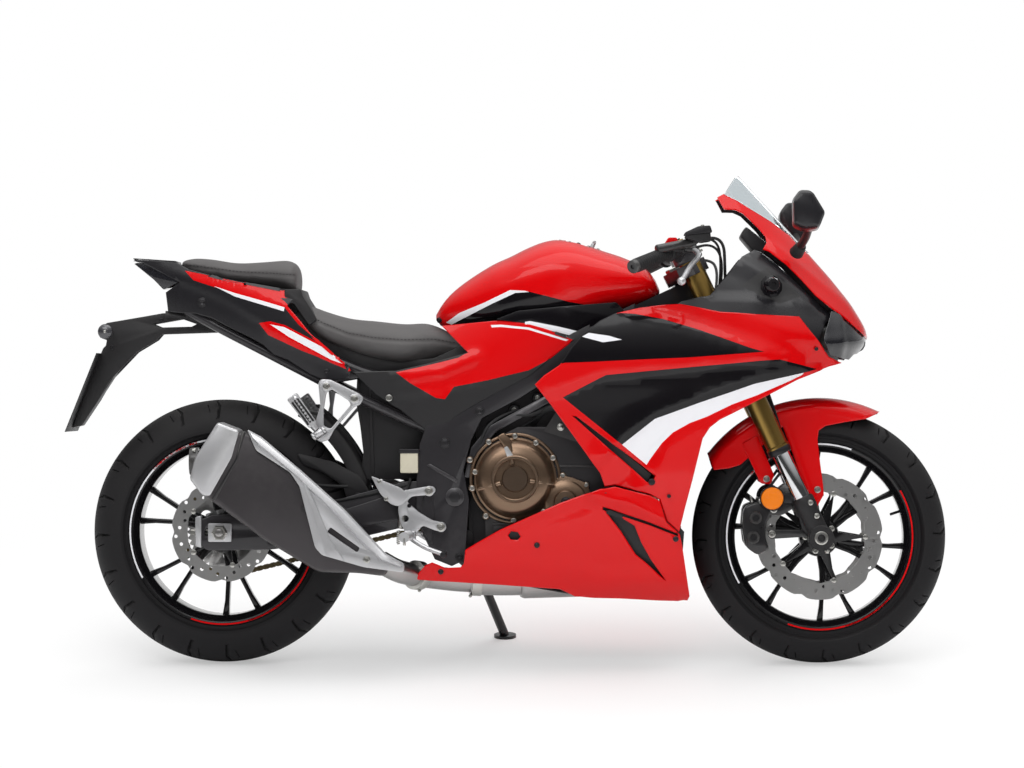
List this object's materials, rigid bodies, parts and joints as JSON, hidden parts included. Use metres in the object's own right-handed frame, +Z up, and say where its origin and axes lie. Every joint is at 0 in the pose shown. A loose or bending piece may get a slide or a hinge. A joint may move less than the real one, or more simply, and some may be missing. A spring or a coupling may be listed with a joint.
{
  "type": "sport motorcycle",
  "caption": "Faired sport motorcycle leaning on its side stand, with turning steering, free wheels and folding stand.",
  "frame": {"origin": "on the floor, under the middle of the parked machine's box", "axes": "+X forward, +Y to the rider's left, +Z up; the machine leans to +Y on its side stand"},
  "size_m": [2.0787, 0.7821, 1.1465],
  "materials": {
    "frame_paint": "satin black casting paint",
    "black_steel": "gloss black paint on steel tube",
    "red_paint": "gloss red paint on moulded plastic",
    "red_black_paint": "gloss red paint with black and white stripes",
    "gloss_black": "gloss black moulded plastic",
    "matte_black": "grained black plastic",
    "seat_cover": "grained seat cover over foam",
    "clear": "clear moulded screen",
    "lamp_lens": "clear lamp lens",
    "engine_metal": "cast aluminium, painted dark",
    "bronze_cover": "bronze painted cast cover",
    "fork_gold": "gold anodised tube",
    "fork_lower": "hard chromed tube in a black foot",
    "brake_black": "black anodised caliper",
    "disc_steel": "ground stainless steel",
    "wheel_black": "gloss black cast wheel",
    "tyre_rubber": "tyre rubber",
    "silver_cast": "bare cast and forged aluminium",
    "exhaust_steel": "stainless exhaust steel",
    "muffler_steel": "charcoal muffler with satin end cap and shield",
    "chain_steel": "oiled chain steel",
    "plate_blank": "blank plate"
  },
  "bodies": {
    "chassis": {"main_frame": "frame_paint", "seat_rail": "black_steel", "fuel_tank": "red_black_paint", "rider_seat": "seat_cover", "pillion_seat": "seat_cover", "tail_cowl": "red_paint", "rear_fender": "matte_black", "number_plate": "plate_blank", "rear_lamps": "lamp_lens", "side_covers": "red_black_paint", "upper_cowl": "red_paint", "windscreen": "clear", "side_fairing_right": "red_black_paint", "side_fairing_left": "red_black_paint", "inner_panels": "gloss_black", "belly_cowl": "red_paint", "headlight": "lamp_lens", "instrument_panel": "matte_black", "mirrors": "gloss_black", "swingarm": "frame_paint", "rear_axle": "exhaust_steel", "drive_chain": "chain_steel", "rear_caliper": "brake_black", "rear_shock": "black_steel", "rear_hugger": "matte_black", "engine_block": "engine_metal", "engine_covers": "bronze_cover", "radiator": "silver_cast", "exhaust_pipe": "exhaust_steel", "muffler": "muffler_steel", "peg_hangers": "silver_cast", "pillion_brackets": "silver_cast"},
    "front_fork": {"steering_yokes": "black_steel", "fork_outer_tubes": "fork_gold", "fork_lowers": "fork_lower", "front_calipers": "brake_black", "handlebars": "matte_black", "front_fender": "red_paint", "front_axle": "exhaust_steel"},
    "front_wheel": {"front_rim": "wheel_black", "front_tyre": "tyre_rubber", "front_discs": "disc_steel"},
    "rear_wheel": {"rear_rim": "wheel_black", "rear_tyre": "tyre_rubber", "rear_disc": "disc_steel", "rear_sprocket": "chain_steel"},
    "side_stand": {"side_stand": "black_steel"},
    "fuel_cap": {"fuel_cap": "silver_cast"},
    "pillion_peg_right": {"pillion_peg_right": "silver_cast"},
    "pillion_peg_left": {"pillion_peg_left": "silver_cast"}
  },
  "joints": [
    {"name": "steering", "type": "hinge", "parent": "chassis", "child": "front_fork", "pos_m": [0.44553, -0.01933, 0.81861], "axis": [-0.4305, 0.1567, 0.8889], "range_deg": [-28, 28]},
    {"name": "front_wheel_spin", "type": "hinge", "parent": "front_fork", "child": "front_wheel", "pos_m": [0.73942, -0.11136, 0.29666], "axis": [0, 0.9848, -0.1736], "continuous": true},
    {"name": "rear_wheel_spin", "type": "hinge", "parent": "chassis", "child": "rear_wheel", "pos_m": [-0.67058, -0.10928, 0.30847], "axis": [0, 0.9848, -0.1736], "continuous": true},
    {"name": "side_stand_fold", "type": "hinge", "parent": "chassis", "child": "side_stand", "pos_m": [-0.07058, 0.00805, 0.17914], "axis": [0, 0.9848, 0.1736], "range_deg": [0, 92]},
    {"name": "fuel_cap_hinge", "type": "hinge", "parent": "chassis", "child": "fuel_cap", "pos_m": [0.20913, 0.00978, 0.98369], "axis": [0, 0.9848, -0.1736], "range_deg": [0, 100]},
    {"name": "pillion_peg_left_fold", "type": "hinge", "parent": "chassis", "child": "pillion_peg_left", "pos_m": [-0.43458, 0.10451, 0.50737], "axis": [-0.829, -0.0971, -0.5507], "range_deg": [0, 90]},
    {"name": "pillion_peg_right_fold", "type": "hinge", "parent": "chassis", "child": "pillion_peg_right", "pos_m": [-0.43458, -0.24214, 0.5685], "axis": [0.829, 0.0971, 0.5507], "range_deg": [0, 90]}
  ]
}
